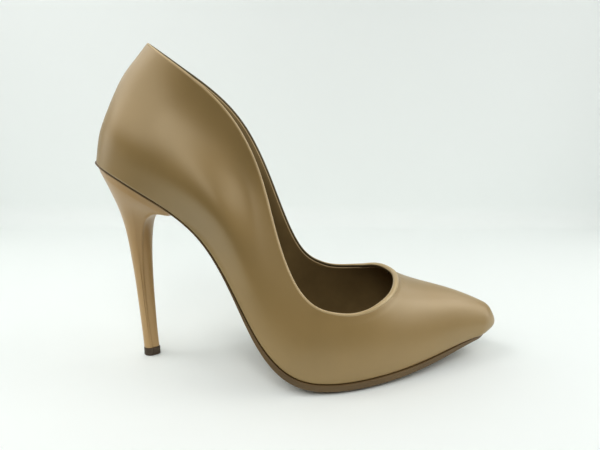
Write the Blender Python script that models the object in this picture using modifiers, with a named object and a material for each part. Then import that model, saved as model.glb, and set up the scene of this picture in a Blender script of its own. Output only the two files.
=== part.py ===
import bmesh
import bpy
import numpy as np

# Right-foot stiletto pump. Design frame in millimetres: X from the back of the heel seat to the toe,
# -Y the outer (lateral) side, +Y the inner (medial) side, Z up from the ground.
MM = 0.001

# Main sizes
WALL = 1.6
FIT_GAP = 0.3
INSOLE_THICK = 2.2
INSOLE_INSET = 2.3
LIFT_HIGH = 4.6
LIFT_PROUD = 0.35
LIFT_BEVEL = 0.4
TOE_TIP_X = 216.4
TOE_CENTRE_X = 206.0
HEEL_CENTRE_X = 29.0
THROAT_X = 154.3
THROAT_ROUND_OUTER = 22.2
THROAT_ROUND_INNER = 18.1
HEEL_SQUARE = 2.2
TOE_SQUARE = 2.0
TOE_BULGE = 1.9

# The last, a row for each section: place and height of the feather edge, lean of the section plane in
# degrees, sideways sway, half breadths, outward flare in degrees, share of the side that rises, ridge
# height along the section, fullness under the ridge on the outer side, how far the ridge line stands toward
# the inner side, fullness under the ridge on the inner side
LAST = (
    ("x", "z", "lean", "sway", "lateral", "medial", "flare", "rise", "ridge", "crown", "apex", "inner"),
    (0.0, 106.2, 25.0, 1.0, 22.4, 22.4, 5.5, 0.45, 130.0, 0.75, 0.0, 0.75),
    (14.0, 100.7, 27.4, 0.8, 22.4, 22.4, 6.0, 0.45, 130.0, 0.75, 0.0, 0.75),
    (29.0, 93.0, 28.6, 0.4, 22.5, 22.5, 7.0, 0.45, 126.0, 0.75, 0.0, 0.75),
    (44.0, 82.5, 33.2, 0.0, 20.4, 19.4, 12.5, 0.45, 112.0, 0.77, 0.5, 0.77),
    (58.0, 67.8, 40.0, -1.0, 18.5, 16.0, 19.0, 0.45, 97.0, 0.81, 1.5, 0.81),
    (71.0, 47.1, 42.8, -2.6, 21.2, 17.2, 22.0, 0.45, 86.5, 0.85, 3.0, 0.85),
    (84.0, 25.5, 38.0, -4.5, 29.0, 25.0, 19.0, 0.45, 77.5, 0.86, 4.0, 0.86),
    (99.0, 10.6, 27.8, -5.2, 36.6, 33.0, 13.5, 0.45, 68.5, 0.81, 5.0, 0.81),
    (118.0, 5.1, 15.0, -4.2, 39.0, 37.6, 10.0, 0.45, 58.8, 0.74, 5.0, 0.71),
    (140.0, 4.9, 7.5, -2.0, 36.0, 37.1, 8.0, 0.45, 50.6, 0.7, 4.5, 0.8),
    (162.0, 6.3, 5.0, 0.4, 29.2, 31.6, 6.5, 0.45, 38.7, 0.67, 3.5, 1.0),
    (184.0, 9.6, 10.3, 2.8, 20.4, 22.6, 4.5, 0.45, 29.3, 0.61, 2.0, 0.76),
    (204.0, 12.6, 19.6, 4.7, 12.2, 13.1, 3.0, 0.48, 19.0, 0.6, 0.8, 0.6),
    (218.0, 13.0, 25.5, 6.4, 8.0, 8.0, 2.0, 0.5, 11.8, 0.6, 0.0, 0.6),
)

# Collar height along each section, outer and inner side
TOPLINE = (
    ("x", "lateral", "medial"),
    (0.0, 66.8, 66.8),
    (14.0, 63.2, 63.2),
    (29.0, 60.4, 60.4),
    (44.0, 55.2, 54.8),
    (58.0, 44.8, 46.4),
    (71.0, 35.6, 40.3),
    (84.0, 32.7, 39.6),
    (99.0, 36.6, 42.7),
    (118.0, 35.1, 42.5),
    (140.0, 32.9, 42.5),
    (162.0, 20.3, 41.6),
)

# Swell of the quarter over the counter and the hollow under the collar, by share of the climb to the collar
QUARTER_SWELL = (
    ("share", "out"),
    (0.0, 0.0),
    (0.12, 1.8),
    (0.3, 4.2),
    (0.5, 1.6),
    (0.7, -2.5),
    (0.86, -3.1),
    (1.0, -1.6),
)
SWELL_FULL_X = 36.0
SWELL_GONE_X = 110.0

# Roundness of the back seam: how far it stands out behind the section plane at each height
BACK_SEAM = (
    ("height", "out"),
    (0.0, 0.0),
    (18.0, 3.0),
    (38.0, 4.2),
    (58.0, 0.0),
    (74.0, -3.0),
)

# Outsole: thickness at the edge, margin past the upper, extra swell under the middle
SOLE = (
    ("x", "edge", "margin", "swell"),
    (0.0, 0.7, 0.1, 0.0),
    (44.0, 0.7, 0.1, 0.0),
    (71.0, 0.75, 0.2, 0.1),
    (84.0, 1.4, 0.4, 0.7),
    (99.0, 2.7, 0.6, 1.7),
    (118.0, 3.0, 0.8, 2.4),
    (140.0, 3.0, 0.8, 2.4),
    (162.0, 2.8, 0.8, 1.6),
    (190.0, 2.4, 0.8, 0.6),
    (206.0, 1.9, 0.7, 0.1),
    (218.0, 1.3, 0.5, 0.0),
)

# Heel, a row for each section from the lift up: back point, front point, half width, hollow of the breast
HEEL = (
    ("back", "back_z", "front", "front_z", "half", "hollow"),
    (19.1, 4.7, 26.0, 4.7, 3.6, 0.2),
    (18.6, 15.0, 25.4, 15.0, 3.9, 0.3),
    (17.6, 30.0, 24.8, 30.0, 4.5, 0.4),
    (16.5, 45.0, 24.3, 45.0, 5.2, 0.5),
    (15.0, 60.0, 24.5, 58.5, 6.3, 0.6),
    (13.5, 71.5, 25.4, 67.0, 7.8, 0.8),
    (11.1, 82.0, 26.6, 73.6, 10.5, 1.2),
    (7.3, 91.2, 29.2, 77.9, 14.8, 1.8),
    (3.3, 99.0, 34.6, 80.4, 19.2, 2.2),
    (0.1, 105.0, 41.6, 82.4, 22.0, 2.4),
)
HEEL_ARC_SHARE = 0.66
HEEL_CORNER = 0.16
HEEL_BREAST_SHARE = 0.91

# Counts of sections and rows
UPPER_ROWS = 13
HEEL_RINGS = 22


def column(table, name):
    place = table[0].index(name)
    return np.array([row[place] for row in table[1:]])


def spline(knots, values, points):
    # Natural cubic curve through the rows of a table
    count = len(knots)
    step = np.diff(knots)
    system = np.eye(count)
    right = np.zeros(count)
    for i in range(1, count - 1):
        system[i, i - 1:i + 2] = step[i - 1], 2 * (step[i - 1] + step[i]), step[i]
        right[i] = 6 * ((values[i + 1] - values[i]) / step[i] - (values[i] - values[i - 1]) / step[i - 1])
    bend = np.linalg.solve(system, right)
    points = np.atleast_1d(np.asarray(points, float))
    i = np.clip(np.searchsorted(knots, points) - 1, 0, count - 2)
    wide = step[i]
    a = (knots[i + 1] - points) / wide
    b = 1 - a
    curve = ((a ** 3 - a) * bend[i] + (b ** 3 - b) * bend[i + 1]) * wide ** 2 / 6
    return a * values[i] + b * values[i + 1] + curve


def along(table, name, points):
    return spline(column(table, table[0][0]), column(table, name), points)


def end_shares(x):
    # Share of full breadth at the rounded ends, and how far each place lies into the heel and toe ends
    heel = np.clip((HEEL_CENTRE_X - x) / HEEL_CENTRE_X, 0, 1)
    toe = np.clip((x - TOE_CENTRE_X) / (TOE_TIP_X - TOE_CENTRE_X), 0, 1)
    breadth = (1 - heel ** HEEL_SQUARE) ** (1 / HEEL_SQUARE) * (1 - toe ** TOE_SQUARE) ** (1 / TOE_SQUARE)
    return breadth, heel, toe


def section(x, t, side):
    # Half breadth and height on the section; t runs from 0 at the feather edge to 1 at the ridge
    half = along(LAST, "lateral" if side < 0 else "medial", x)
    ridge = along(LAST, "ridge", x)
    flare = np.radians(along(LAST, "flare", x))
    climb = along(LAST, "rise", x) * ridge
    s = 1 - t
    knee = half + climb * np.sin(flare)
    full = along(LAST, "crown" if side < 0 else "inner", x) * half
    apex = side * along(LAST, "apex", x)
    y = s ** 3 * half + 3 * s * s * t * knee + 3 * s * t * t * full + t ** 3 * apex
    h = 3 * s * s * t * climb * np.cos(flare) + (3 * s * t * t + t ** 3) * ridge
    return y, h


def quarter_swell(x, climb):
    # Full along the heel, fading smoothly to nothing along the waist
    fade = np.clip((SWELL_GONE_X - x) / (SWELL_GONE_X - SWELL_FULL_X), 0, 1)
    return along(QUARTER_SWELL, "out", climb) * fade * fade * (3 - 2 * fade)


def raw_point(x, t, side, climb=None):
    y, h = section(x, t, side)
    if climb is not None:
        y = y + quarter_swell(x, climb)
    breadth, heel, toe = end_shares(x)
    back = along(BACK_SEAM, "out", np.clip(h, 0, 74))
    share = h / along(LAST, "ridge", x)
    reach = TOE_TIP_X - TOE_CENTRE_X
    swell = TOE_BULGE * np.sin(np.pi * np.clip(share / 0.8, 0, 1))
    nose = (reach + swell) * np.sqrt(np.clip(1 - share ** 2.6, 0, 1)) - reach
    shift = nose * toe - back * heel
    lean = np.radians(along(LAST, "lean", x))
    px = x + h * np.sin(lean) + shift * np.cos(lean)
    py = along(LAST, "sway", x) + side * y * breadth
    pz = along(LAST, "z", x) + h * np.cos(lean) - shift * np.sin(lean)
    return np.stack([px, py, pz], -1), share, toe


def outer_point(x, t, side, climb):
    # Outer face of the upper; sections past the toe centre close on one point of the ridge
    point, share, toe = raw_point(x, t, side, climb)
    top, _, _ = raw_point(x, np.ones_like(t), side)
    pole, _, _ = raw_point(np.full_like(x, TOE_CENTRE_X), np.ones_like(t), side)
    closing = (np.clip(share, 0, 1) ** 4 * (toe > 0))[:, None]
    return point + closing * (pole - top)


def collar_share(x, side):
    # Share of the section kept below the collar; 1 ahead of the throat
    high = along(TOPLINE, "lateral" if side < 0 else "medial", np.clip(x, 0, 162))
    fine = np.linspace(0, 1, 401)
    kept = np.ones_like(x)
    turn = THROAT_ROUND_OUTER if side < 0 else THROAT_ROUND_INNER
    for i in np.flatnonzero(x < THROAT_X):
        _, h = section(np.full(401, x[i]), fine, side)
        plain = np.interp(high[i], h, fine)
        near = np.clip((THROAT_X - x[i]) / turn, 0, 1)
        kept[i] = 1 - (1 - plain) * np.sqrt(near * (2 - near))
    return kept


def ease_in(start, end, count):
    return start + (end - start) * (1 - np.cos(np.linspace(0, np.pi / 2, count)))


def upper_stations():
    heel = ease_in(0.0, HEEL_CENTRE_X, 11)
    quarter = np.linspace(HEEL_CENTRE_X, THROAT_X - 20, 21)[1:]
    throat = ease_in(THROAT_X, THROAT_X - 20, 9)[::-1][1:]
    vamp = np.linspace(THROAT_X, TOE_CENTRE_X, 9)[1:]
    toe = ease_in(TOE_TIP_X, TOE_CENTRE_X, 8)[::-1][1:]
    return np.concatenate([heel, quarter, throat, vamp, toe])


def sole_stations(count_heel, count_middle, count_toe):
    heel = ease_in(0.0, HEEL_CENTRE_X, count_heel)
    middle = np.linspace(HEEL_CENTRE_X, TOE_CENTRE_X, count_middle)[1:]
    toe = ease_in(TOE_TIP_X, TOE_CENTRE_X, count_toe)[::-1][1:]
    return np.concatenate([heel, middle, toe])


def feather_curve(x):
    # Bottom profile of the last with its downward normal in the side view
    z = along(LAST, "z", x)
    slope = (along(LAST, "z", x + 0.05) - along(LAST, "z", x - 0.05)) / 0.1
    size = np.hypot(1, slope)
    return z, slope / size, -1 / size


def new_object(name, verts, faces, colour, rough, coat, closed=True):
    mesh = bpy.data.meshes.new(name)
    work = bmesh.new()
    made = [work.verts.new([c * MM for c in v]) for v in verts]
    for face in faces:
        work.faces.new([made[i] for i in face])
    bmesh.ops.remove_doubles(work, verts=work.verts[:], dist=1e-7)
    if closed:
        bmesh.ops.recalc_face_normals(work, faces=work.faces[:])
    work.to_mesh(mesh)
    work.free()
    thing = bpy.data.objects.new(name, mesh)
    shoe.objects.link(thing)
    thing.parent = frame
    paint = bpy.data.materials.new(name + "_finish")
    paint.use_nodes = True
    shader = paint.node_tree.nodes["Principled BSDF"]
    shader.inputs["Base Color"].default_value = (*colour, 1.0)
    shader.inputs["Roughness"].default_value = rough
    shader.inputs["Coat Weight"].default_value = coat
    mesh.materials.append(paint)
    return thing


def ring_faces(rings, size, closed_ring=True):
    # Four-sided faces between neighbouring rings of equal size
    last = size if closed_ring else size - 1
    faces = []
    for i in range(rings - 1):
        for j in range(last):
            k = (j + 1) % size
            faces.append((i * size + j, i * size + k, (i + 1) * size + k, (i + 1) * size + j))
    return faces


def make_upper():
    x = upper_stations()
    rise = np.linspace(0, 1, UPPER_ROWS)
    verts = []
    faces = []
    for side in (-1, 1):
        kept = collar_share(x, side)
        start = len(verts)
        for xi, top in zip(x, kept):
            verts.extend(outer_point(np.full(UPPER_ROWS, xi), rise * top, side, rise).tolist())
        for face in ring_faces(len(x), UPPER_ROWS, closed_ring=False):
            turned = face[::-1] if side < 0 else face
            faces.append(tuple(start + i for i in turned))
    upper = new_object("upper", verts, faces, (0.42, 0.27, 0.14), 0.42, 0.15, closed=False)
    shell = upper.modifiers.new("wall", "SOLIDIFY")
    shell.thickness = WALL * MM
    shell.offset = -1.0
    shell.use_even_offset = True
    shell.use_quality_normals = True
    return upper


def slab(name, x, low, high, half_of, colour, rough, across, crown_of=None):
    # Closed slab under the foot: each ring runs along the lower face and back along the upper face
    z, nx, nz = feather_curve(x)
    breadth, _, _ = end_shares(x)
    sway = along(LAST, "sway", x)
    lateral, medial, stretch = half_of(x)
    spread = np.linspace(-1, 1, across)
    verts = []
    for i in range(len(x)):
        side = np.where(spread < 0, lateral[i], medial[i])
        y = sway[i] + spread * side * breadth[i]
        px = stretch[i] + nx[i] * low[i] + 0 * y
        pz = z[i] + nz[i] * low[i] + 0 * y
        if crown_of is not None:
            pz = crown_of(i, pz, spread)
        under = np.stack([px, y, pz], -1)
        over = np.stack([stretch[i] + nx[i] * high[i] + 0 * y, y, z[i] + nz[i] * high[i] + 0 * y], -1)
        verts.extend(under.tolist())
        verts.extend(over[::-1].tolist())
    return new_object(name, verts, ring_faces(len(x), 2 * across), colour, rough, 0.0)


def sole_under(x):
    # Lower face of the outsole in the side view, at its edge
    z, nx, nz = feather_curve(x)
    deep = FIT_GAP + along(SOLE, "edge", x)
    return x + nx * deep, z + nz * deep


def make_outsole():
    x = sole_stations(9, 30, 8)
    margin = along(SOLE, "margin", x)
    edge = along(SOLE, "edge", x)
    swell = np.clip(along(SOLE, "swell", x), 0, None)

    def half_of(place):
        middle = 0.5 * TOE_TIP_X
        stretch = place + margin * (place - middle) / middle
        return along(LAST, "lateral", place) + margin, along(LAST, "medial", place) + margin, stretch

    def crown_of(i, pz, spread):
        return np.maximum(pz - swell[i] * (1 - np.abs(spread) ** 3), 0.0)

    top = np.full_like(x, FIT_GAP)
    return slab("outsole", x, top + edge, top, half_of, (0.23, 0.12, 0.055), 0.55, 11, crown_of)


def make_insole():
    x = sole_stations(8, 26, 7)

    def half_of(place):
        middle = 0.5 * TOE_TIP_X
        stretch = place - INSOLE_INSET * (place - middle) / middle
        inner = along(LAST, "lateral", stretch) - INSOLE_INSET
        return inner, along(LAST, "medial", stretch) - INSOLE_INSET, stretch

    flat = np.zeros_like(x)
    return slab("insole", x, flat, flat - INSOLE_THICK, half_of, (0.11, 0.06, 0.03), 0.75, 7)


def heel_outline(back, front, half, hollow):
    # D shape seen from above: rounded back, straight sides, hollow breast with eased corners
    size = front - back
    turn = np.linspace(-np.pi / 2, np.pi / 2, 13)
    power = 2 / HEEL_SQUARE
    u = HEEL_ARC_SHARE * (1 - np.abs(np.cos(turn)) ** power)
    v = np.sign(np.sin(turn)) * np.abs(np.sin(turn)) ** power
    ease = HEEL_CORNER * min(half, size)
    narrow = HEEL_BREAST_SHARE * half
    breast = np.linspace(1, -1, 7) * (narrow - ease)
    face = front - hollow * (1 - (breast / narrow) ** 2)
    run_u = np.concatenate([back + size * u, [front - ease], face, [front - ease]])
    run_v = np.concatenate([half * v, [narrow], breast, [-narrow]])
    return run_u, run_v


def make_heel():
    rows = np.arange(len(HEEL) - 1, dtype=float)
    place = np.linspace(0, rows[-1], HEEL_RINGS)
    cols = {name: spline(rows, column(HEEL, name), place) for name in HEEL[0]}
    fine = np.linspace(-2, 60, 400)
    under_x, under_z = sole_under(fine)
    verts = []
    for i in range(HEEL_RINGS):
        u, v = heel_outline(cols["back"][i], cols["front"][i], cols["half"][i], cols["hollow"][i])
        share = (u - cols["back"][i]) / (cols["front"][i] - cols["back"][i])
        z = cols["back_z"][i] + share * (cols["front_z"][i] - cols["back_z"][i])
        seat = np.interp(u, under_x, under_z) - FIT_GAP
        z = seat if i == HEEL_RINGS - 1 else np.minimum(z, seat - 0.4 * (HEEL_RINGS - 1 - i))
        y = v + along(LAST, "sway", np.clip(u, 0, 60)) * i / HEEL_RINGS + 0.8 * (1 - i / HEEL_RINGS)
        verts.extend(np.stack([u, y, z], -1).tolist())
    size = len(u)
    faces = ring_faces(HEEL_RINGS, size)
    centre_u, centre_y = 20.0, 0.7
    for shrink in (0.66, 0.33):
        cu = centre_u + (u - centre_u) * shrink
        cy = centre_y + (y - centre_y) * shrink
        cz = np.interp(cu, under_x, under_z) - FIT_GAP
        verts.extend(np.stack([cu, cy, cz], -1).tolist())
    faces.extend(tuple((HEEL_RINGS - 1) * size + i for i in f) for f in ring_faces(3, size))
    faces.append(tuple(range(size - 1, -1, -1)))
    verts.append([centre_u, centre_y, np.interp(centre_u, under_x, under_z) - FIT_GAP])
    top = (HEEL_RINGS + 1) * size
    faces.extend((top + j, top + (j + 1) % size, len(verts) - 1) for j in range(size))
    return new_object("heel", verts, faces, (0.45, 0.28, 0.16), 0.3, 0.3)


def make_lift():
    low = HEEL[1]
    u, v = heel_outline(low[0] - 0.1, low[2] + LIFT_PROUD, low[4] + 0.1, low[5])
    verts = [(a, b + 0.8, z) for z in (0.0, LIFT_HIGH) for a, b in zip(u, v)]
    size = len(u)
    faces = ring_faces(2, size)
    faces.append(tuple(range(size - 1, -1, -1)))
    faces.append(tuple(range(size, 2 * size)))
    lift = new_object("top_piece", verts, faces, (0.05, 0.028, 0.016), 0.6, 0.0)
    rim = lift.modifiers.new("eased rim", "BEVEL")
    rim.width = LIFT_BEVEL * MM
    rim.segments = 1
    rim.limit_method = "ANGLE"
    rim.angle_limit = np.radians(60)
    return lift


# Empty scene, one collection for the shoe and one empty that carries every piece
for old in list(bpy.data.objects):
    bpy.data.objects.remove(old, do_unlink=True)
shoe = bpy.data.collections.new("stiletto_pump")
bpy.context.scene.collection.children.link(shoe)
frame = bpy.data.objects.new("pump_frame", None)
shoe.objects.link(frame)

pieces = [make_upper(), make_insole(), make_outsole(), make_heel(), make_lift()]

# The frame stands on the ground with its origin under the middle of the shoe
corners = np.array([v.co for piece in pieces for v in piece.data.vertices])
middle = 0.5 * (corners.min(0) + corners.max(0))
frame.location = (-middle[0], -middle[1], 0.0)
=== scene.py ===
import math
import bmesh
import bpy
import numpy as np
from mathutils import Matrix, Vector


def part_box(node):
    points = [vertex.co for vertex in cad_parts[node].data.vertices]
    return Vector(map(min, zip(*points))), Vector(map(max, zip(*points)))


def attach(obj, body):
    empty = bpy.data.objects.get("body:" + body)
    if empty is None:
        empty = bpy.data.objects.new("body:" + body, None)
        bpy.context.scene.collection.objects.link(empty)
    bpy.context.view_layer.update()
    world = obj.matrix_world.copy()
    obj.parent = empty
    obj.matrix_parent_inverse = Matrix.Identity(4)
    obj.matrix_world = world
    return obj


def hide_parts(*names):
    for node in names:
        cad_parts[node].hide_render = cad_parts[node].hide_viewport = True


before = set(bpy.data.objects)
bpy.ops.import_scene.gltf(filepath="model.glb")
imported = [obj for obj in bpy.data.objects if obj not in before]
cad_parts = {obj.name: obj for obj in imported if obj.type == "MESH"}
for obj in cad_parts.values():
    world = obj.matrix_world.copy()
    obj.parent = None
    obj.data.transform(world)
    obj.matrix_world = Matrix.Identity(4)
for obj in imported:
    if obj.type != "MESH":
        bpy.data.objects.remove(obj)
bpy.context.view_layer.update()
print("frame loaded:", sorted(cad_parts))

# Shoe drawn in millimetres: x from the back of the heel seat to the toe, y minus to the outer side, z up
mm = 0.001
last = {
    "x": [0, 14, 29, 44, 58, 71, 84, 99, 118, 140, 162, 184, 204, 218],  # foot of each section
    "z": [108.6, 102, 93.3, 82.5, 67.8, 47.1, 25.5, 10.6, 5.1, 4.9, 6.3, 9.6, 12.6, 13],  # its height
    "lean": [25, 27.4, 28.6, 33.2, 40, 42.8, 38, 27.8, 15, 7.5, 5, 10.3, 19.6, 25.5],  # tilt, degrees
    "sway": [1, 0.8, 0.4, 0, -1, -2.6, -4.5, -5.2, -4.2, -2, 0.4, 2.8, 4.7, 6.4],  # bottom's sideways bend
    "lateral": [22.4, 22.4, 22.5, 20.4, 18.5, 21.2, 29, 36.6, 39, 36, 29.2, 20.4, 12.2, 8],  # outer half
    "medial": [22.4, 22.4, 22.5, 19.4, 16, 17.2, 25, 33, 37.6, 37.1, 31.6, 22.6, 13.1, 8],  # inner half
    "flare": [5.5, 6, 7, 12.5, 19, 22, 19, 13.5, 10, 8, 6.5, 4.5, 3, 2],  # outward flare, degrees
    "rise": [0.45] * 12 + [0.48, 0.5],  # share of the height that climbs before it turns in
    "ridge": [130, 130, 126, 112, 97, 86.5, 77.5, 68.5, 58.8, 50.6, 38.3, 28.8, 18.6, 11.6],  # ridge height
    "crown": [0.75] * 3 + [0.77, 0.81, 0.85, 0.86, 0.81, 0.74, 0.7, 0.67, 0.61, 0.6, 0.6],  # outer fullness
    "inner": [0.75] * 3 + [0.77, 0.81, 0.85, 0.86, 0.81, 0.71, 0.8, 1.0, 0.76, 0.6, 0.6],  # inner fullness
    "apex": [0, 0, 0, 0.5, 1.5, 3, 4, 5, 5, 4.5, 3.5, 2, 0.8, 0],  # ridge set toward the inner side
    "heelCentre": 29.0, "heelSquare": 2.2,
    "toeCentre": 206.0, "toeTip": 216.4, "toeSquare": 2.0,
    "toeBulge": 1.9, "bulgeTop": 0.8, "noseSquare": 2.6, "toeTuck": 1.3,
    "seamHigh": [0, 6, 14, 24, 36, 46, 56, 72],
    "seamOut": [-1.5, 0, 1.7, 2.35, 2.6, 2, -0.5, -4.8],  # round of the back at those heights
}
collar = {
    "x": [0, 14, 29, 44, 58, 71, 84, 99, 108, 118, 129, 140, 162],
    "lateral": [65.3, 62.3, 60.2, 55.2, 44.8, 35.6, 33.5, 36.1, 36.5, 35.4, 34.7, 34.8, 23.7],
    "medial": [65.3, 62.3, 60.3, 55.6, 46.7, 40.3, 39.6, 42.7, 43, 42.5, 42.4, 42.5, 41.6],
    "throat": 154.3, "outerRound": 22.2, "innerRound": 18.1,
}
quarterLook = {
    "share": [0, 0.12, 0.3, 0.5, 0.7, 0.86, 1],  # share of the climb from the feather edge to the collar
    "out": [0, 1.8, 4.2, 1.6, -2.5, -3.1, -1.6],  # full over the counter, hollow under the collar
    "x": [0, 36, 48, 57, 65, 74, 84, 100],
    "amount": [1, 1.1, 1.5, 1.55, 0.85, 0.25, 0.03, 0],  # strongest behind the waist
    "drift": [0, 0, 0.03, 0.07, 0.08, 0.08, 0.08, 0.08],  # the same shape set higher toward the waist
}
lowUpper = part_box("upper")[0]
lowLift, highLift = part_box("top_piece")
liftAside = 0.8  # the lift stands this far to the inner side of the drawing's middle
# step from the drawing to the row frame
toRow = np.array([lowUpper.x / mm, 0.5 * (lowLift.y + highLift.y) / mm - liftAside, 0.0])
meshLook = {
    "collarFine": 801,  # steps of a section in which the collar is looked for
    "weldFine": 400, "weldOff": 0.137,  # cells to the millimetre, and how far they are set off
    "mergeWithin": 2e-6,  # metres
    "shares": 24,  # points are handled in this many shares to save memory
    "checkRow": 20,  # row whose normals tell which way a face looks
}


def curveThrough(knots, values, points):
    # natural cubic curve: bends solved from a banded system,
    # then the two rows beside each point are blended
    knots = np.asarray(knots, float)
    values = np.asarray(values, float)
    step = np.diff(knots)
    slope = np.diff(values) / step
    inner = np.arange(1, len(knots) - 1)
    system = np.eye(len(knots))
    system[inner, inner - 1] = step[:-1]
    system[inner, inner] = 2 * (step[:-1] + step[1:])
    system[inner, inner + 1] = step[1:]
    right = np.zeros(len(knots))
    right[inner] = 6 * np.diff(slope)
    bend = np.linalg.solve(system, right)
    points = np.asarray(points, float)
    i = np.clip(np.searchsorted(knots, points) - 1, 0, len(knots) - 2)
    wide = step[i]
    a = (knots[i + 1] - points) / wide
    b = 1 - a
    curved = (a ** 3 - a) * bend[i] + (b ** 3 - b) * bend[i + 1]
    return a * values[i] + b * values[i + 1] + curved * wide ** 2 / 6


def lastAt(name, x):
    # one column of the last's table, on its natural cubic curve
    return curveThrough(last["x"], last[name], x)


def endShares(x):
    # breadth share of a superellipse at each end: (1 - u to the n) to the 1/n,
    # with u from 0 inside to 1 at the end
    heel = np.clip((last["heelCentre"] - x) / last["heelCentre"], 0, 1)
    toe = np.clip((x - last["toeCentre"]) / (last["toeTip"] - last["toeCentre"]), 0, 1)
    heelShare = (1 - heel ** last["heelSquare"]) ** (1 / last["heelSquare"])
    return heelShare * (1 - toe ** last["toeSquare"]) ** (1 / last["toeSquare"]), heel, toe


def sectionShape(x, t, side):
    # cubic arc of a half section, from the feather edge (t 0) out by the flare,
    # up and over to the ridge (t 1)
    half = np.where(side < 0, lastAt("lateral", x), lastAt("medial", x))
    ridge = lastAt("ridge", x)
    flare = np.radians(lastAt("flare", x))
    climb = lastAt("rise", x) * ridge
    s = 1 - t
    knee = half + climb * np.sin(flare)
    full = half * np.where(side < 0, lastAt("crown", x), lastAt("inner", x))
    y = s ** 3 * half + 3 * s * s * t * knee + 3 * s * t * t * full + t ** 3 * side * lastAt("apex", x)
    return y, 3 * s * s * t * climb * np.cos(flare) + (3 * s * t * t + t ** 3) * ridge


def quarterSwell(x, share):
    # table of the swell over the climb, moved up by the drift and weighted along the shoe
    x = np.clip(x, 0, quarterLook["x"][-1])
    higher = np.clip(share - curveThrough(quarterLook["x"], quarterLook["drift"], x), 0, 1)
    amount = curveThrough(quarterLook["x"], quarterLook["amount"], x)
    return curveThrough(quarterLook["share"], quarterLook["out"], higher) * amount


def rawPoint(x, t, side, climbShare=0.0):
    # section stood on the bottom profile with its lean; the heel end swells by the seam,
    # the toe end by a nose arc that is tucked in below
    y, h = sectionShape(x, t, side)
    y = y + quarterSwell(x, climbShare + 0 * x)
    breadth, heel, toe = endShares(x)
    share = h / lastAt("ridge", x)
    reach = last["toeTip"] - last["toeCentre"]
    swell = last["toeBulge"] * np.sin(np.pi * np.clip(share / last["bulgeTop"], 0, 1))
    nose = (reach + swell) * np.sqrt(np.clip(1 - share ** last["noseSquare"], 0, 1)) - reach
    nose = nose - last["toeTuck"] * (1 - np.clip(share, 0, 1)) ** 3
    seam = curveThrough(last["seamHigh"], last["seamOut"], np.clip(h, 0, last["seamHigh"][-1]))
    shift = nose * toe - seam * heel
    lean = np.radians(lastAt("lean", x))
    px = x + h * np.sin(lean) + shift * np.cos(lean)
    py = lastAt("sway", x) + side * y * breadth
    pz = lastAt("z", x) + h * np.cos(lean) - shift * np.sin(lean)
    return np.stack([px, py, pz], -1), share, toe


def lastPoint(x, t, side):
    # outer face of the upper: past the toe centre the tops of the sections close on one point of the ridge
    point, share, toe = rawPoint(x, t, side, t / collarShare(x[:, 0], side[:, 0])[:, None])
    top = rawPoint(x, np.ones_like(t), side)[0]
    pole = rawPoint(np.full_like(x, last["toeCentre"]), np.ones_like(t), side)[0]
    return point + (np.clip(share, 0, 1) ** 4 * (toe > 0))[..., None] * (pole - top)


def collarShare(x, side, drop=0.0, ahead=0.0):
    # share of each section kept under the collar: where its height meets the collar line,
    # rounded over to 1 at the throat
    within = np.clip(x, 0, collar["x"][-1])
    high = np.where(side < 0, curveThrough(collar["x"], collar["lateral"], within),
                    curveThrough(collar["x"], collar["medial"], within)) - drop
    fine = np.linspace(0, 1, meshLook["collarFine"])
    h = sectionShape(x[:, None] + 0 * fine, fine + 0 * x[:, None], side[:, None] + 0 * fine)[1]
    i = np.clip((h < high[:, None]).sum(1), 1, len(fine) - 1)
    rows = np.arange(len(x))
    plain = fine[i - 1] + (high - h[rows, i - 1]) / (h[rows, i] - h[rows, i - 1]) * (fine[1] - fine[0])
    reach = np.where(side < 0, collar["outerRound"], collar["innerRound"])
    near = np.clip((collar["throat"] + ahead - x) / reach, 0, 1)
    return np.where(near > 0, 1 - (1 - np.clip(plain, 0, 1)) * np.sqrt(near * (2 - near)), 1.0)


def easeIn(start, end, count):
    # quarter cosine: steps are finest at the start
    return start + (end - start) * (1 - np.cos(np.linspace(0, np.pi / 2, count)))


def loopOf(stations):
    # once round the shoe: outer side from toe to heel, then inner side from heel to toe
    x = np.concatenate([stations[::-1], stations[1:-1]])
    side = np.concatenate([-np.ones(len(stations)), np.ones(len(stations) - 2)])
    return x, side


stationLook = {
    "heel": 36, "quarter": 76, "behind": 40, "ahead": 16, "vamp": 26, "toe": 26,  # sections in each stretch
    "behindReach": 20, "aheadReach": 9,  # stretches drawn finely either side of the throat
}


def upperStations(throat):
    # places of the sections: quarter cosines at the heel, the throat and the toe, even steps between them
    rear, fore = throat - stationLook["behindReach"], throat + stationLook["aheadReach"]
    heel = easeIn(0.0, last["heelCentre"], stationLook["heel"])
    quarter = np.linspace(last["heelCentre"], rear, stationLook["quarter"])[1:]
    behind = easeIn(throat, rear, stationLook["behind"])[::-1][1:]
    ahead = easeIn(throat, fore, stationLook["ahead"])[1:]
    vamp = np.linspace(fore, last["toeCentre"], stationLook["vamp"])[1:]
    toe = easeIn(last["toeTip"], last["toeCentre"], stationLook["toe"])[::-1][1:]
    return np.concatenate([heel, quarter, behind, ahead, vamp, toe])


def gridQuads(cols, rows, closedCols=True, closedRows=False):
    # four corners of every cell of a grid stored column by column
    c = np.arange(cols if closedCols else cols - 1)[:, None]
    r = np.arange(rows if closedRows else rows - 1)[None, :]
    nextC = (c + 1) % cols
    nextR = (r + 1) % rows
    corners = [c * rows + r, c * rows + nextR, nextC * rows + nextR, nextC * rows + r]
    return np.stack(corners, -1).reshape(-1, 4)


def weldIds(points):
    # equal numbers for points in the same cell of a fine lattice
    cell = np.round(points.reshape(-1, 3) * meshLook["weldFine"] + meshLook["weldOff"]).astype(np.int64)
    return np.unique(cell, axis=0, return_inverse=True)[1].ravel()


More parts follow.
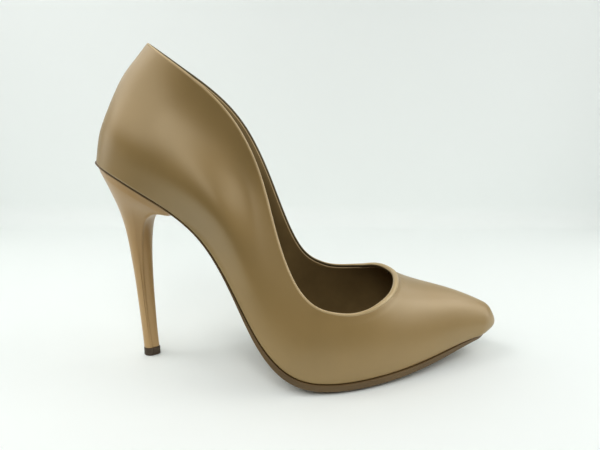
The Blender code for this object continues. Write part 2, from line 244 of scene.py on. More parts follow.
def surfaceNormals(points, quads):
    # mean of the crossed diagonals of the faces round each welded point
    flat = points.reshape(-1, 3)
    ids = weldIds(points)
    corner = flat[quads]
    face = np.cross(corner[:, 2] - corner[:, 0], corner[:, 3] - corner[:, 1])
    total = np.zeros((ids.max() + 1, 3))
    np.add.at(total, ids[quads].ravel(), np.repeat(face, 4, axis=0))
    total /= np.maximum(np.linalg.norm(total, axis=1), 1e-12)[:, None]
    return total[ids].reshape(points.shape)


def signedVolume(flat, quads):
    # a dot (b cross c) of the two triangles of each face, summed over 6
    a, b, c, d = (flat[quads[:, k]] for k in range(4))
    return (np.einsum("ij,ij->i", a, np.cross(b, c)) + np.einsum("ij,ij->i", a, np.cross(c, d))).sum() / 6


def putMesh(name, points, quads, material, closed=True):
    # points in drawing millimetres go to the row frame in metres; doubled points are merged
    flat = points.reshape(-1, 3)
    if closed and signedVolume(flat - flat.mean(0), quads) < 0:
        quads = quads[:, ::-1]
    mesh = bpy.data.meshes.new(name)
    mesh.from_pydata((flat + toRow) * mm, [], quads)
    work = bmesh.new()
    work.from_mesh(mesh)
    bmesh.ops.remove_doubles(work, verts=work.verts[:], dist=meshLook["mergeWithin"])
    work.to_mesh(mesh)
    work.free()
    mesh.shade_smooth()
    mesh.materials.append(material)
    piece = bpy.data.objects.new(name, mesh)
    bpy.context.scene.collection.objects.link(piece)
    return piece


def nearLine(points, line):
    # distance of every point to the nearest point of a line, and the run along the line there
    flat = points.reshape(-1, 3)
    run = np.concatenate([[0], np.cumsum(np.linalg.norm(np.diff(line, axis=0), axis=1))])
    best = np.empty(len(flat))
    place = np.empty(len(flat), int)
    for part in np.array_split(np.arange(len(flat)), meshLook["shares"]):
        gap = np.linalg.norm(flat[part][:, None] - line[None], axis=2)
        place[part] = gap.argmin(1)
        best[part] = gap.min(1)
    return best.reshape(points.shape[:-1]), run[place].reshape(points.shape[:-1])


def evenPath(points, count, *extra):
    # closed line cut into equal steps of its own length
    shut = np.concatenate([points, points[:1]])
    run = np.concatenate([[0], np.cumsum(np.linalg.norm(np.diff(shut, axis=0), axis=1))])
    place = np.linspace(0, run[-1], count, endpoint=False)
    cut = []
    for track in (points, *extra):
        ring = np.concatenate([track, track[:1]])
        cut.append(np.stack([np.interp(place, run, ring[:, k]) for k in range(3)], -1))
    return cut


def tubeAlong(path, outward, radius, around):
    # circle carried along a closed path: centre + radius (cos a outward + sin a across)
    run = np.roll(path, -1, axis=0) - np.roll(path, 1, axis=0)
    run /= np.linalg.norm(run, axis=1)[:, None]
    out = outward - (outward * run).sum(1)[:, None] * run
    out /= np.linalg.norm(out, axis=1)[:, None]
    across = np.cross(run, out)
    turn = np.linspace(0, 2 * np.pi, around, endpoint=False)
    ring = np.cos(turn)[None, :, None] * out[:, None] + np.sin(turn)[None, :, None] * across[:, None]
    tube = path[:, None] + np.asarray(radius)[:, None, None] * ring
    return tube, gridQuads(len(path), around, True, True)


# shared grain, as a node group with named sockets
grainLook = {
    "cellShare": 0.7, "gritShare": 0.5,  # parts of the height
    "darkTone": 0.3, "lightTone": 0.7,  # clouds between these run from the dark colour to the light one
}


def newGroup(name, inputs, outputs):
    # empty shader group with its named sockets
    group = bpy.data.node_groups.new(name, "ShaderNodeTree")
    for label, kind in inputs:
        group.interface.new_socket(label, in_out="INPUT", socket_type=kind)
    for label, kind in outputs:
        group.interface.new_socket(label, in_out="OUTPUT", socket_type=kind)
    return group, group.nodes.new("NodeGroupInput"), group.nodes.new("NodeGroupOutput")


def addNode(tree, kind, values=None, **settings):
    # new node with its settings and the values of its sockets
    node = tree.nodes.new(kind)
    for label, value in settings.items():
        setattr(node, label, value)
    for label, value in (values or {}).items():
        node.inputs[label].default_value = value
    return node


def mathNode(tree, operation, first, second):
    # sum or product of two sockets or numbers
    node = addNode(tree, "ShaderNodeMath", operation=operation)
    for socket, value in zip(node.inputs, (first, second)):
        if isinstance(value, (int, float)):
            socket.default_value = value
        else:
            tree.links.new(value, socket)
    return node.outputs[0]


def grainGroup():
    # pressed grain: cells plus fine grit give Height, slow clouds give a Tone round 0.5
    group, source, sink = newGroup(
        "pressedGrain",
        [("Place", "NodeSocketVector"), ("Cells", "NodeSocketFloat"),
         ("Grit", "NodeSocketFloat"), ("Clouds", "NodeSocketFloat")],
        [("Height", "NodeSocketFloat"), ("Tone", "NodeSocketFloat")])
    cells = addNode(group, "ShaderNodeTexVoronoi", feature="SMOOTH_F1")
    grit = addNode(group, "ShaderNodeTexNoise", {"Detail": 3.0, "Roughness": 0.6})
    clouds = addNode(group, "ShaderNodeTexNoise", {"Detail": 4.0, "Roughness": 0.55})
    for node, scale in ((cells, "Cells"), (grit, "Grit"), (clouds, "Clouds")):
        group.links.new(source.outputs["Place"], node.inputs["Vector"])
        group.links.new(source.outputs[scale], node.inputs["Scale"])
    cellPart = mathNode(group, "MULTIPLY", cells.outputs["Distance"], grainLook["cellShare"])
    gritPart = mathNode(group, "MULTIPLY", grit.outputs["Fac"], grainLook["gritShare"])
    height = mathNode(group, "ADD", cellPart, gritPart)
    group.links.new(height, sink.inputs["Height"])
    group.links.new(clouds.outputs["Fac"], sink.inputs["Tone"])
    return group


pressedGrain = grainGroup()


def newFinish(name, look):
    # Principled material whose colour runs between two tones by the grain's clouds, with grain as bump
    paint = bpy.data.materials.new(name)
    paint.use_nodes = True
    tree = paint.node_tree
    shader = tree.nodes["Principled BSDF"]
    place = addNode(tree, "ShaderNodeTexCoord")
    grain = addNode(tree, "ShaderNodeGroup", node_tree=pressedGrain)
    for label in ("Cells", "Grit", "Clouds"):
        grain.inputs[label].default_value = look[label.lower()]
    tree.links.new(place.outputs["Object"], grain.inputs["Place"])
    tones = addNode(tree, "ShaderNodeMix", data_type="RGBA")
    tones.inputs[6].default_value = (*look["dark"], 1.0)
    tones.inputs[7].default_value = (*look["light"], 1.0)
    spread = addNode(tree, "ShaderNodeMapRange",
                     {"From Min": grainLook["darkTone"], "From Max": grainLook["lightTone"]})
    tree.links.new(grain.outputs["Tone"], spread.inputs["Value"])
    tree.links.new(spread.outputs["Result"], tones.inputs[0])
    tree.links.new(tones.outputs[2], shader.inputs["Base Color"])
    rough = addNode(tree, "ShaderNodeMapRange", {"To Min": look["rough"][0], "To Max": look["rough"][1]})
    tree.links.new(grain.outputs["Tone"], rough.inputs["Value"])
    tree.links.new(rough.outputs["Result"], shader.inputs["Roughness"])
    bump = addNode(tree, "ShaderNodeBump", {"Strength": look["bump"][0], "Distance": look["bump"][1]})
    tree.links.new(grain.outputs["Height"], bump.inputs["Height"])
    tree.links.new(bump.outputs["Normal"], shader.inputs["Normal"])
    shader.inputs["Coat Weight"].default_value = look.get("coat", 0.0)
    shader.inputs["Coat Roughness"].default_value = look.get("coatRough", 0.3)
    shader.inputs["Specular IOR Level"].default_value = look.get("shine", 0.5)
    shader.inputs["Specular Tint"].default_value = (*look.get("glint", (1.0, 1.0, 1.0)), 1.0)
    return paint


def dressPiece(piece, slot, *nodes):
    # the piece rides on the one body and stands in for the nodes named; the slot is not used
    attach(piece, "root")
    if nodes:
        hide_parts(*nodes)
    print("piece made:", piece.name, len(piece.data.polygons), "faces")
    return piece


def shellOf(piece, thick):
    # even wall grown inward from the drawn face
    wall = piece.modifiers.new("wall", "SOLIDIFY")
    wall.thickness = thick * mm
    wall.offset = -1.0
    wall.use_even_offset = True
    wall.use_quality_normals = True
    return wall


# upper: satin smooth hide over the last, with its edge rolled in round the collar
upperLook = {
    "dark": (0.286, 0.186, 0.066), "light": (0.332, 0.216, 0.079), "glint": (1.0, 0.88, 0.66),
    "rough": (0.35, 0.42), "bump": (0.14, 0.00006), "cells": 1100.0, "grit": 3200.0, "clouds": 24.0,
    "coat": 0.08, "coatRough": 0.35, "shine": 1.0,
    "thick": 1.3, "tuck": 1.1,  # wall, and the round where the hide turns under at the feather edge
    "rows": ((0, 0.05, 7), (0.05, 0.94, 44), (0.94, 1, 8)),  # from, to, count: finer at both edges
    "foldX": [0, 80, 105, 130, 146, 156],
    "foldRadius": [0.62, 0.68, 0.78, 0.9, 1.3, 1.55],  # roll fuller at the throat
    "foldSteps": (520, 16), "innerShadeSide": -0.4,  # past this cosine the inside of the roll takes painted shade
    "groove": {"deep": 0.2, "place": 3.2, "wide": 1.2, "reach": 48},
    "pucker": {"high": 0.16, "long": 2.3, "stray": 0.9, "strayLong": 5.3,
               "place": 3.4, "wide": 1.3, "reach": 17},
}
foldHighlightLook = dict(upperLook, dark=(0.47, 0.34, 0.165), light=(0.54, 0.395, 0.2), bump=(0.1, 0.00004))  # paler copy of the hide: painted highlight on the rolled edge
# darker copy of the hide: painted shade on its inner face and on the inside of the roll
innerShadeLook = {
    "dark": (0.085, 0.06, 0.025), "light": (0.115, 0.082, 0.036), "rough": (0.55, 0.7),
    "bump": (0.2, 0.00006), "cells": 1300.0, "grit": 3600.0, "clouds": 30.0, "shine": 0.3,
}
upperPaint = newFinish("tan_hide", upperLook)
foldHighlightPaint = newFinish("painted_highlight_edge", foldHighlightLook)
innerShadePaint = newFinish("hide_inside", innerShadeLook)


def foldSize(x):
    # radius of the roll, straight between the values of its table
    return np.interp(x, upperLook["foldX"], upperLook["foldRadius"])


def bellOf(away, wide):
    # soft bell: e to the minus square of the distance over the width
    return np.exp(-(away / wide) ** 2)


skinThroat = collar["throat"] + foldSize(collar["throat"])
stations = upperStations(skinThroat)
rowShares = np.unique(np.concatenate([np.linspace(*part) for part in upperLook["rows"]]))
loopX, loopSide = loopOf(stations)
kept = collarShare(loopX, loopSide, foldSize(loopX), foldSize(collar["throat"]))
gridT = kept[:, None] * rowShares
skin = lastPoint(loopX[:, None] + 0 * gridT, gridT, loopSide[:, None] + 0 * gridT)
skinQuads = gridQuads(*skin.shape[:2])
skinOut = surfaceNormals(skin, skinQuads)
if skinOut[len(stations) // 2, meshLook["checkRow"], 1] >= 0:  # outer side, so it should face minus y
    skinQuads = skinQuads[:, ::-1]
    skinOut = -skinOut
openCols = np.flatnonzero(loopX <= skinThroat)[:-1]  # the throat point comes round twice
edgeLine = skin[openCols, -1]
edgeOut = skinOut[openCols, -1]
edgeGap, edgeRun = nearLine(skin, np.concatenate([edgeLine, edgeLine[:1]]))
climbed = np.cumsum(np.linalg.norm(np.diff(skin, axis=1), axis=2), 1)
climbed = np.concatenate([np.zeros((len(loopX), 1)), climbed], 1)
tuck = upperLook["tuck"]
inset = np.where(climbed < tuck, tuck - np.sqrt(np.clip(tuck ** 2 - (tuck - climbed) ** 2, 0, None)), 0.0)
# soft groove beside the roll and small puckers where the hide is drawn round the throat
tipGap = np.minimum(edgeRun, edgeRun.max() - edgeRun)
groove, pucker = upperLook["groove"], upperLook["pucker"]
hollow = bellOf(edgeGap - groove["place"], groove["wide"]) * bellOf(tipGap, groove["reach"])
stray = pucker["stray"] * np.sin(edgeRun / pucker["strayLong"])
wave = np.sin(2 * np.pi * edgeRun / pucker["long"] + stray)
wave = wave * bellOf(edgeGap - pucker["place"], pucker["wide"]) * bellOf(tipGap, pucker["reach"])
inset = inset + groove["deep"] * hollow - pucker["high"] * wave
upperSkin = putMesh("upper_skin", skin - skinOut * inset[..., None], skinQuads, upperPaint, closed=False)
# the hide's inner face takes the darker copy, a painted shade
upperSkin.data.materials.append(innerShadePaint)
shellOf(upperSkin, upperLook["thick"]).material_offset = 1
dressPiece(upperSkin, "upper", "upper")

foldLong, foldRound = upperLook["foldSteps"]
foldPath, foldOut, foldAt = evenPath(edgeLine - edgeOut * 0.5 * upperLook["thick"], foldLong, edgeOut,
                                     np.repeat(loopX[openCols][:, None], 3, axis=1))
foldPoints, foldQuads = tubeAlong(foldPath, foldOut, foldSize(foldAt[:, 0]), foldRound)
# the roll wears the paler copy of the hide, a painted highlight
collarFold = putMesh("collar_fold", foldPoints, foldQuads, foldHighlightPaint)
collarFold.data.materials.append(innerShadePaint)
# faces on the inside of the roll get the darker copy, a painted shade
innerShadeSide = np.cos((np.arange(foldRound) + 0.5) * 2 * np.pi / foldRound) < upperLook["innerShadeSide"]
collarFold.data.polygons.foreach_set("material_index", np.tile(innerShadeSide, foldLong).astype(np.int32))
dressPiece(collarFold, "upper")

# lining: thin dark sheet inside, stopping short of the roll, with a pale cut edge
liningLook = {
    "dark": (0.172, 0.112, 0.038), "light": (0.24, 0.16, 0.058), "rough": (0.6, 0.75),
    "bump": (0.25, 0.00008), "cells": 1500.0, "grit": 4000.0, "clouds": 40.0, "shine": 0.35,
    "drop": (0.65, 1.35),  # below the collar: a fixed part, and a share of the roll's radius
    "rows": 40, "gap": 0.06, "thick": 0.4, "beadRadius": 0.28, "beadSteps": (480, 8),
}
liningPaint = newFinish("brown_lining", liningLook)


def liningDrop(x):
    # how far the lining stops below the collar: fixed part plus a share of the roll's radius
    return liningLook["drop"][0] + liningLook["drop"][1] * foldSize(x)


liningThroat = collar["throat"] + liningDrop(collar["throat"])
liningStations = upperStations(liningThroat)
liningX, liningSide = loopOf(liningStations)
liningKept = collarShare(liningX, liningSide, liningDrop(liningX), liningDrop(collar["throat"]))
liningT = liningKept[:, None] * np.linspace(0, 1, liningLook["rows"])
liningFace = lastPoint(liningX[:, None] + 0 * liningT, liningT, liningSide[:, None] + 0 * liningT)
liningQuads = gridQuads(*liningFace.shape[:2])
liningOut = surfaceNormals(liningFace, liningQuads)
if liningOut[len(liningStations) // 2, meshLook["checkRow"], 1] > 0:  # same turn as the skin
    liningQuads = liningQuads[:, ::-1]
    liningOut = -liningOut
liningFace = liningFace - liningOut * (upperLook["thick"] + liningLook["gap"])
lining = putMesh("lining", liningFace, liningQuads, liningPaint, closed=False)
shellOf(lining, liningLook["thick"])
dressPiece(lining, "insole")

beadLook = {
    "dark": (0.54, 0.38, 0.19), "light": (0.64, 0.46, 0.24), "rough": (0.5, 0.6), "bump": (0.1, 0.00005),
    "cells": 1500.0, "grit": 4000.0, "clouds": 40.0,
}
beadPaint = newFinish("pale_cut_edge", beadLook)
liningOpen = np.flatnonzero(liningX <= liningThroat)[:-1]
beadLine = liningFace[liningOpen, -1] - liningOut[liningOpen, -1] * 0.5 * liningLook["thick"]
beadLong, beadRound = liningLook["beadSteps"]
beadPath, beadOut = evenPath(beadLine, beadLong, liningOut[liningOpen, -1])
beadPoints, beadQuads = tubeAlong(beadPath, beadOut, np.full(beadLong, liningLook["beadRadius"]), beadRound)
dressPiece(putMesh("lining_edge", beadPoints, beadQuads, beadPaint), "upper")


# bottom pieces: outline loop carried through a profile of inset and depth
slopeStep = 0.05
rimTurn = np.linspace(0, np.pi / 2, 6)  # quarter turn of every rounded rim


def featherCurve(x):
    # bottom profile with its downward normal in the side view
    slope = (lastAt("z", x + slopeStep) - lastAt("z", x - slopeStep)) / (2 * slopeStep)
    size = np.hypot(1, slope)
    return lastAt("z", x), slope / size, -1 / size


def solePoints(stations, margin, profile, depthOf):
    # each row of the profile is (share of the half breadth, inset, depth share);
    # the outline shrinks by the inset, and the depth is laid along the normal of the bottom
    x, side = loopOf(stations)
    share, inset, deep = (np.asarray(k)[None, :] for k in zip(*profile))
    grow = margin(x)[:, None] - inset
    middle = 0.5 * last["toeTip"]
    along = x[:, None] + grow * (x[:, None] - middle) / middle
    z, nx, nz = featherCurve(x)
    half = np.where(side < 0, lastAt("lateral", x), lastAt("medial", x))[:, None] + grow
    y = lastAt("sway", x)[:, None] + side[:, None] * half * endShares(x)[0][:, None] * share
    depth = depthOf(x, deep)
    places = np.stack([along + nx[:, None] * depth, y, z[:, None] + nz[:, None] * depth], -1)
    return places, share + 0 * along, deep + 0 * along


def soleStations(heelCount, midCount, toeCount):
    # sections of a bottom piece, closest together at both ends
    return np.concatenate([easeIn(0.0, last["heelCentre"], heelCount),
                           np.linspace(last["heelCentre"], last["toeCentre"], midCount)[1:],
                           easeIn(last["toeTip"], last["toeCentre"], toeCount)[::-1][1:]])


outsoleLook = {
    "x": [0, 44, 71, 84, 99, 118, 140, 162, 190, 206, 218],
    "edge": [0.38, 0.38, 0.6, 1.4, 2.6, 3, 3, 2.7, 2, 1.4, 0.8],  # thickness at the edge
    "margin": [-0.9, -0.3, 0.1, 0.4, 0.6, 0.8, 0.8, 0.8, 0.5, -0.5, -2.4],  # stands past the upper
    "swell": [0, 0, 0.1, 0.7, 1.7, 2.4, 2.4, 1.6, 0.6, 0.1, 0],  # fuller under the middle
    "gap": 0.02, "bedded": 0.3, "round": 0.45, "roundShare": 0.16,  # edge runs up behind the feather line
    "steps": (30, 120, 26), "under": 22, "above": 12,
    "dark": (0.1, 0.06, 0.021), "light": (0.15, 0.092, 0.033), "rough": (0.42, 0.6), "bump": (0.3, 0.00012),
    "cells": 700.0, "grit": 2200.0, "clouds": 30.0, "shine": 0.45,
}
outsolePaint = newFinish("brown_sole", outsoleLook)
rim, rimShare = outsoleLook["round"], outsoleLook["roundShare"]
soleProfile = [(s, rim, 1.0) for s in np.linspace(0, 1, outsoleLook["under"])]
soleProfile += [(1.0, rim * (1 - np.sin(a)), 1.0 - rimShare * (1 - np.cos(a))) for a in rimTurn[1:]]
soleProfile += [(1.0, rim * (1 - np.cos(a)), rimShare * (1 - np.sin(a))) for a in rimTurn]
soleProfile += [(s, rim, 0.0) for s in np.linspace(1, 0, outsoleLook["above"])[1:]]


def soleAt(name, x):
    # one column of the sole's table, on its natural cubic curve
    return curveThrough(outsoleLook["x"], outsoleLook[name], x)


def soleDepth(x, deep):
    # from just under the feather edge down to the edge's own thickness
    thick = soleAt("edge", x)[:, None] + outsoleLook["bedded"] - outsoleLook["gap"]
    return outsoleLook["gap"] + deep * thick


soleRun = soleStations(*outsoleLook["steps"])
solePlaces, soleShare, soleDeep = solePoints(soleRun, lambda x: soleAt("margin", x), soleProfile, soleDepth)
swell = np.clip(soleAt("swell", loopOf(soleRun)[0][:, None]), 0, None) * (1 - soleShare ** 3)
swell = np.where(soleDeep == 1.0, swell, 0.0)  # only the underside is full
solePlaces[..., 2] = np.maximum(solePlaces[..., 2] - swell, 0.0)  # flat where it rests
outsole = putMesh("outsole_skin", solePlaces, gridQuads(*solePlaces.shape[:2]), outsolePaint)
dressPiece(outsole, "outsole", "outsole")

sockLook = {
    "inset": 1.95, "gap": 0.02, "thick": 2.25, "round": 0.7,
    "steps": (24, 100, 20), "under": 10, "above": 16,
    "dark": (0.11, 0.064, 0.03), "light": (0.17, 0.102, 0.05), "rough": (0.45, 0.6), "bump": (0.2, 0.00008),
    "cells": 900.0, "grit": 3000.0, "clouds": 26.0, "shine": 0.4,
}
sockPaint = newFinish("brown_sock", sockLook)
rim = sockLook["round"]
sockProfile = [(s, rim, 0.0) for s in np.linspace(0, 1, sockLook["under"])]
sockProfile += [(1.0, rim * (1 - np.sin(a)), 0.5 * (1 - np.cos(a))) for a in rimTurn[1:]]
sockProfile += [(1.0, rim * (1 - np.cos(a)), 0.5 + 0.5 * np.sin(a)) for a in rimTurn[1:]]
sockProfile += [(s, rim, 1.0) for s in np.linspace(1, 0, sockLook["above"])[1:]]
sockPlaces = solePoints(soleStations(*sockLook["steps"]), lambda x: 0 * x - sockLook["inset"], sockProfile,
                        lambda x, deep: -sockLook["gap"] - deep * sockLook["thick"])[0]
sock = putMesh("insole_sock", sockPlaces, gridQuads(*sockPlaces.shape[:2]), sockPaint)
dressPiece(sock, "insole", "insole")

# heel: D sections from the lift up to the seat
heelLook = {
    "back": [19.1, 18.6, 17.6, 16.5, 15, 13.5, 11.3, 8.3, 4.9, 1.5],
    "backZ": [4.7, 15, 30, 45, 60, 71.5, 82, 91.8, 100.6, 107.4],
    "front": [27.4, 26.8, 26.35, 26.1, 26.3, 26.9, 27.9, 29.9, 35.6, 44.6],
    "frontZ": [4.7, 15, 30, 45, 59.5, 69.5, 76.6, 80.9, 82.2, 81.2],
    "half": [3.6, 3.9, 4.5, 5.2, 6.3, 7.8, 10.5, 14.8, 19.2, 22],
    "hollow": [-2.8, -3.1, -3.5, -3.7, -3.5, -2.9, -1.7, 0.3, 1.8, 2.4],  # minus: rounded breast
    "arc": [0.5, 0.5, 0.5, 0.5, 0.5, 0.52, 0.56, 0.61, 0.65, 0.66],  # share of the depth in the round back
    "corner": 0.16, "breastShare": 0.91, "leanIn": 0.8, "rows": 110,
    "bite": 0.15,  # into the sole
    "below": 8.4,  # least depth of the lowest row under the seat
    "meetFrom": 0.952,  # share of the climb from which the rows bend up to the seat
    "seatReach": (-2, 60), "seatFine": 500,  # stretch of the sole over the heel, and its steps
    "outline": {"back": 61, "side": 12, "corner": 8, "breast": 25},  # points of a section
    "footMid": 22.5, "capMid": (20.0, 0.7), "capRows": 12,
    "dark": (0.46, 0.285, 0.118), "light": (0.52, 0.327, 0.142), "glint": (1.0, 0.88, 0.68),
    "rough": (0.3, 0.38), "bump": (0.05, 0.00005), "cells": 500.0, "grit": 1500.0, "clouds": 20.0,
    "coat": 0.12, "coatRough": 0.15, "shine": 0.6,
}
heelPaint = newFinish("lacquered_heel", heelLook)


def heelOutline(back, front, half, hollow, arcShare):
    # D shape seen from above: superellipse back, straight sides, quarter-ellipse corners,
    # and a breast that is a parabola, hollow or rounded
    given = (back, front, half, hollow, arcShare)
    count = heelLook["outline"]
    back, front, half, hollow, arcShare = (np.asarray(k, float)[:, None] for k in given)
    size = front - back
    edge = front + np.minimum(hollow, 0)
    arc = np.linspace(-np.pi / 2, np.pi / 2, count["back"])[None]
    power = 2 / last["heelSquare"]
    u = back + size * arcShare * (1 - np.abs(np.cos(arc)) ** power)
    v = half * np.sign(np.sin(arc)) * np.abs(np.sin(arc)) ** power
    ease = heelLook["corner"] * np.minimum(half, size)
    narrow = heelLook["breastShare"] * half
    step = np.linspace(0, 1, count["side"])[None, 1:-1]
    sideU = u[:, -1:] + (edge - ease - u[:, -1:]) * step
    sideV = half + (narrow - half) * step
    quarter = np.linspace(0, np.pi / 2, count["corner"])[None]
    cornerU = edge - ease + ease * np.sin(quarter)
    cornerV = narrow - ease + ease * np.cos(quarter)
    across = np.linspace(1, -1, count["breast"])[None, 1:-1] * (narrow - ease)
    face = edge - hollow * (1 - (across / (narrow - ease)) ** 2)
    runU = np.concatenate([u, sideU, cornerU, face, cornerU[:, ::-1], sideU[:, ::-1]], 1)
    runV = np.concatenate([v, sideV, cornerV, across, -cornerV[:, ::-1], -sideV[:, ::-1]], 1)
    return runU, runV


def seatOf(u):
    # underside of the sole over the heel, as a height for each place along it, raised by the bite
    x = np.linspace(*heelLook["seatReach"], heelLook["seatFine"])
    z, nx, nz = featherCurve(x)
    deep = outsoleLook["bedded"] + soleAt("edge", x)
    return np.interp(u, x + nx * deep, z + nz * deep) + heelLook["bite"]


heelRows = np.arange(len(heelLook["back"]))
climb = np.linspace(0, heelRows[-1], heelLook["rows"])
shape = {k: curveThrough(heelRows, heelLook[k], climb)
         for k in ("back", "backZ", "front", "frontZ", "half", "hollow", "arc")}
heelU, heelV = heelOutline(shape["back"], shape["front"], shape["half"], shape["hollow"], shape["arc"])
rising = (climb / heelRows[-1])[:, None]
shareU = (heelU - shape["back"][:, None]) / (shape["front"] - shape["back"])[:, None]
heelZ = shape["backZ"][:, None] + shareU * (shape["frontZ"] - shape["backZ"])[:, None]
heelZ = np.minimum(heelZ, seatOf(heelU) - heelLook["below"] * (1 - rising))
meet = np.clip((rising - heelLook["meetFrom"]) / (1 - heelLook["meetFrom"]), 0, 1)
heelZ = heelZ + (seatOf(heelU) - heelZ) * meet
seatSway = lastAt("sway", np.clip(heelU, 0, heelLook["seatReach"][1]))
heelY = heelV + seatSway * rising + heelLook["leanIn"] * (1 - rising)
heelSkin = np.stack([heelU, heelY, heelZ], -1)
foot = heelSkin[:1] * np.array([0, 0, 1.0]) + np.array([heelLook["footMid"], heelLook["leanIn"], 0])
shrink = np.linspace(1, 0, heelLook["capRows"])[1:, None, None]
capUv = np.array(heelLook["capMid"]) + (heelSkin[-1, :, :2] - np.array(heelLook["capMid"]))[None] * shrink
cap = np.concatenate([capUv, seatOf(capUv[..., 0])[..., None]], -1)
heelSkin = np.concatenate([foot, heelSkin, cap])
heelQuads = gridQuads(*heelSkin.shape[:2], False, True)
heelPiece = putMesh("heel_cover", heelSkin, heelQuads, heelPaint)
dressPiece(heelPiece, "heel", "heel")

# lift: short dark block under the heel tip, eased at both rims
liftLook = {
    "high": 4.6, "proud": 0.35, "past": 0.1, "round": 0.4, "mid": 22.6,
    "dark": (0.055, 0.038, 0.024), "light": (0.1, 0.072, 0.048), "rough": (0.5, 0.65),
    "bump": (0.4, 0.00015), "cells": 800.0, "grit": 2500.0, "clouds": 60.0, "shine": 0.25,
}
liftPaint = newFinish("dark_lift", liftLook)
liftU, liftV = heelOutline([heelLook["back"][0] - liftLook["past"]],
                           [heelLook["front"][0] + liftLook["proud"]],
                           [heelLook["half"][0] + liftLook["past"]],
                           [heelLook["hollow"][0]], [heelLook["arc"][0]])
liftRim = np.stack([liftU[0], liftV[0] + heelLook["leanIn"]], -1)
liftMid = np.array([liftLook["mid"], heelLook["leanIn"]])
liftSize = np.linalg.norm(liftRim - liftMid, axis=1)[:, None]
rim = liftLook["round"]
liftRows = [(0.0, 0.0, 0.0)]  # share of the rim, inset, height
liftRows += [(1.0, rim * (1 - np.sin(a)), rim * (1 - np.cos(a))) for a in rimTurn]
liftRows += [(1.0, rim * (1 - np.cos(a)), liftLook["high"] - rim * (1 - np.sin(a))) for a in rimTurn]
liftRows += [(0.0, 0.0, liftLook["high"])]
liftShare, liftInset, liftHigh = (np.array(k)[:, None, None] for k in zip(*liftRows))
liftUv = liftMid + (liftRim - liftMid) * liftShare * (1 - liftInset / liftSize)
liftPoints = np.concatenate([liftUv, liftHigh + 0 * liftUv[..., :1]], -1)
liftQuads = gridQuads(*liftPoints.shape[:2], False, True)
liftPiece = putMesh("lift_block", liftPoints, liftQuads, liftPaint)
dressPiece(liftPiece, "top_piece", "top_piece")

# floor and backdrop: pale sheet, flat under the shoe and turned up behind it;
# the strip in front of the box is only there to be seen
stageLook = {
    "turn": 0.39, "radius": 0.03, "wide": 2.4, "boxFront": -0.12, "front": -1.4, "high": 1.6,
    "under": 0.00005,  # top of the sheet under the ground
    "flatSteps": 12, "bendSteps": 16, "frontSteps": 10, "wideSteps": 9,
    "colour": (0.905, 0.945, 0.928), "rough": 0.7,
}


def sheetProfile():
    # floor line, quarter circle, wall line
    a = np.linspace(0, np.pi / 2, stageLook["bendSteps"])
    turn, radius, count = stageLook["turn"], stageLook["radius"], stageLook["flatSteps"]
    along = np.linspace(stageLook["boxFront"], turn - radius, count)[:-1]
    flat = np.stack([along, np.zeros(count - 1)], -1)
    bend = np.stack([turn - radius * (1 - np.sin(a)), radius * (1 - np.cos(a))], -1)
    wall = np.stack([np.full(count - 1, turn), np.linspace(radius, stageLook["high"], count)[1:]], -1)
    return np.concatenate([flat, bend, wall])


def putSheet(name, line, paint):
    # profile in y and z drawn out along x
    wide = np.linspace(-0.5, 0.5, stageLook["wideSteps"]) * stageLook["wide"]
    points = np.stack([wide[:, None] + 0 * line[:, 0], line[:, 0] + 0 * wide[:, None],
                       line[:, 1] - stageLook["under"] + 0 * wide[:, None]], -1)
    mesh = bpy.data.meshes.new(name)
    mesh.from_pydata(points.reshape(-1, 3), [], gridQuads(len(wide), len(line), False, False)[:, ::-1])
    mesh.shade_smooth()
    mesh.materials.append(paint)
    thing = bpy.data.objects.new(name, mesh)
    bpy.context.scene.collection.objects.link(thing)
    return thing


sheetPaint = bpy.data.materials.new("pale_paper")
sheetPaint.use_nodes = True
sheetShader = sheetPaint.node_tree.nodes["Principled BSDF"]
sheetShader.inputs["Base Color"].default_value = (*stageLook["colour"], 1.0)
sheetShader.inputs["Roughness"].default_value = stageLook["rough"]
putSheet("pale_sheet", sheetProfile(), sheetPaint)
frontY = np.linspace(stageLook["front"], stageLook["boxFront"], stageLook["frontSteps"])
frontSheet = putSheet("pale_front", np.stack([frontY, 0 * frontY], -1), sheetPaint)
frontSheet.visible_diffuse = False
frontSheet.visible_glossy = False
print("sheet laid under and behind the shoe")

# light: white panels round an open-fronted box, mostly from above, turned a little toward the heel
lampLook = {
    "frontTop": {"azimuth": 0, "elevation": 45, "size": 0.35, "power": 1.5},
    "leftHigh": {"azimuth": 90, "elevation": 60, "size": 0.35, "power": 1.2},
    "leftTop": {"azimuth": 40, "elevation": 60, "size": 0.35, "power": 0.4},
    "leftNear": {"azimuth": 35, "elevation": 35, "size": 0.28, "power": 0.3, "spread": 150},
    "leftFront": {"azimuth": 60, "elevation": 35, "size": 0.28, "power": 0.39},
    "left": {"azimuth": 90, "elevation": 35, "size": 0.28, "power": 0.43, "spread": 150},
    "leftLow": {"azimuth": 95, "elevation": 10, "size": 0.28, "power": 0.46},
    "leftBack": {"azimuth": 120, "elevation": 35, "size": 0.28, "power": 0.27, "spread": 150},
    "rightNear": {"azimuth": -60, "elevation": 35, "size": 0.28, "power": 0.34, "spread": 150},
    "right": {"azimuth": -90, "elevation": 35, "size": 0.28, "power": 0.8, "spread": 150},
    "rightLow": {"azimuth": -90, "elevation": 10, "size": 0.28, "power": 0.5, "spread": 150},
    "rightBack": {"azimuth": -120, "elevation": 35, "size": 0.28, "power": 0.4, "spread": 150},
}
roomLook = {
    "seen": (0.86, 0.89, 0.87), "seenStrength": 1.0, "lightStrength": 0.04,
    "panelsAway": 0.72, "panelsRaised": 0.06, "panelColour": (1.0, 1.0, 0.985),
}


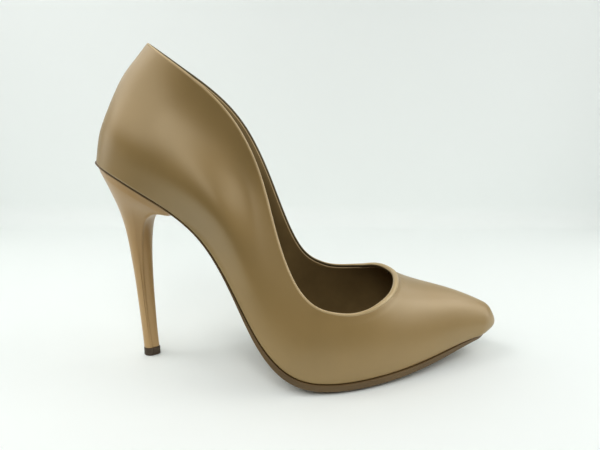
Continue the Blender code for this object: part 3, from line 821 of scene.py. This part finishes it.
def addLamp(name, look):
    # azimuth from the front toward the heel, elevation and distance seen from the shoe,
    # which the panel faces
    turn, tilt = math.radians(look["azimuth"]), math.radians(look["elevation"])
    toPanel = np.array([-math.sin(turn) * math.cos(tilt), -math.cos(turn) * math.cos(tilt), math.sin(tilt)])
    lamp = bpy.data.lights.new(name, "AREA")
    lamp.size = look["size"]
    lamp.energy = look["power"]
    lamp.spread = math.radians(look.get("spread", 180))
    lamp.color = roomLook["panelColour"]
    thing = bpy.data.objects.new(name, lamp)
    thing.location = toPanel * roomLook["panelsAway"] + np.array([0.0, 0.0, roomLook["panelsRaised"]])
    thing.rotation_euler = (math.pi / 2 - tilt, 0.0, -turn)
    thing.visible_camera = False
    bpy.context.scene.collection.objects.link(thing)


for lampName, lampValues in lampLook.items():
    addLamp(lampName, lampValues)
room = bpy.data.worlds.new("room")
room.use_nodes = True
roomTree = room.node_tree
roomBack = roomTree.nodes["Background"]
roomBack.inputs["Color"].default_value = (*roomLook["seen"], 1.0)
roomRay = addNode(roomTree, "ShaderNodeLightPath")
roomSeen = addNode(roomTree, "ShaderNodeMapRange",
                   {"To Min": roomLook["lightStrength"], "To Max": roomLook["seenStrength"]})
roomTree.links.new(roomRay.outputs["Is Camera Ray"], roomSeen.inputs["Value"])
roomTree.links.new(roomSeen.outputs["Result"], roomBack.inputs["Strength"])
bpy.context.scene.world = room
bpy.context.scene.view_settings.view_transform = "Standard"
print("light set:", len(lampLook), "panels")

# camera: eye level and turn read from the photograph's own lines
cameraLook = {
    "target": (106.42, 0.0, 74.54), "distance": 248.14,
    "azimuth": -1.274, "elevation": 10.89, "roll": 0.501,
    "focalPixels": 459.96, "imageWide": 600.0, "filmWide": 36.0, "nearest": 0.01,
}
azimuth, elevation, roll = (math.radians(cameraLook[k]) for k in ("azimuth", "elevation", "roll"))
back = np.array([math.sin(azimuth) * math.cos(elevation), -math.cos(azimuth) * math.cos(elevation),
                 math.sin(elevation)])
level = np.array([math.cos(azimuth), math.sin(azimuth), 0.0])
upright = np.cross(back, level)
across = level * math.cos(roll) + upright * math.sin(roll)
upward = upright * math.cos(roll) - level * math.sin(roll)
eye = (np.array(cameraLook["target"]) + back * cameraLook["distance"] + toRow) * mm
lens = bpy.data.cameras.new("camera")
lens.sensor_width = cameraLook["filmWide"]
lens.sensor_fit = "HORIZONTAL"
lens.lens = cameraLook["filmWide"] * cameraLook["focalPixels"] / cameraLook["imageWide"]
lens.clip_start = cameraLook["nearest"]
viewer = bpy.data.objects.new("camera", lens)
bpy.context.scene.collection.objects.link(viewer)
turned = np.eye(4)
turned[:3, 0], turned[:3, 1], turned[:3, 2], turned[:3, 3] = across, upward, back, eye
viewer.matrix_world = Matrix(turned.tolist())
bpy.context.scene.camera = viewer
print("camera at", np.round(eye, 4))

bpy.context.view_layer.update()
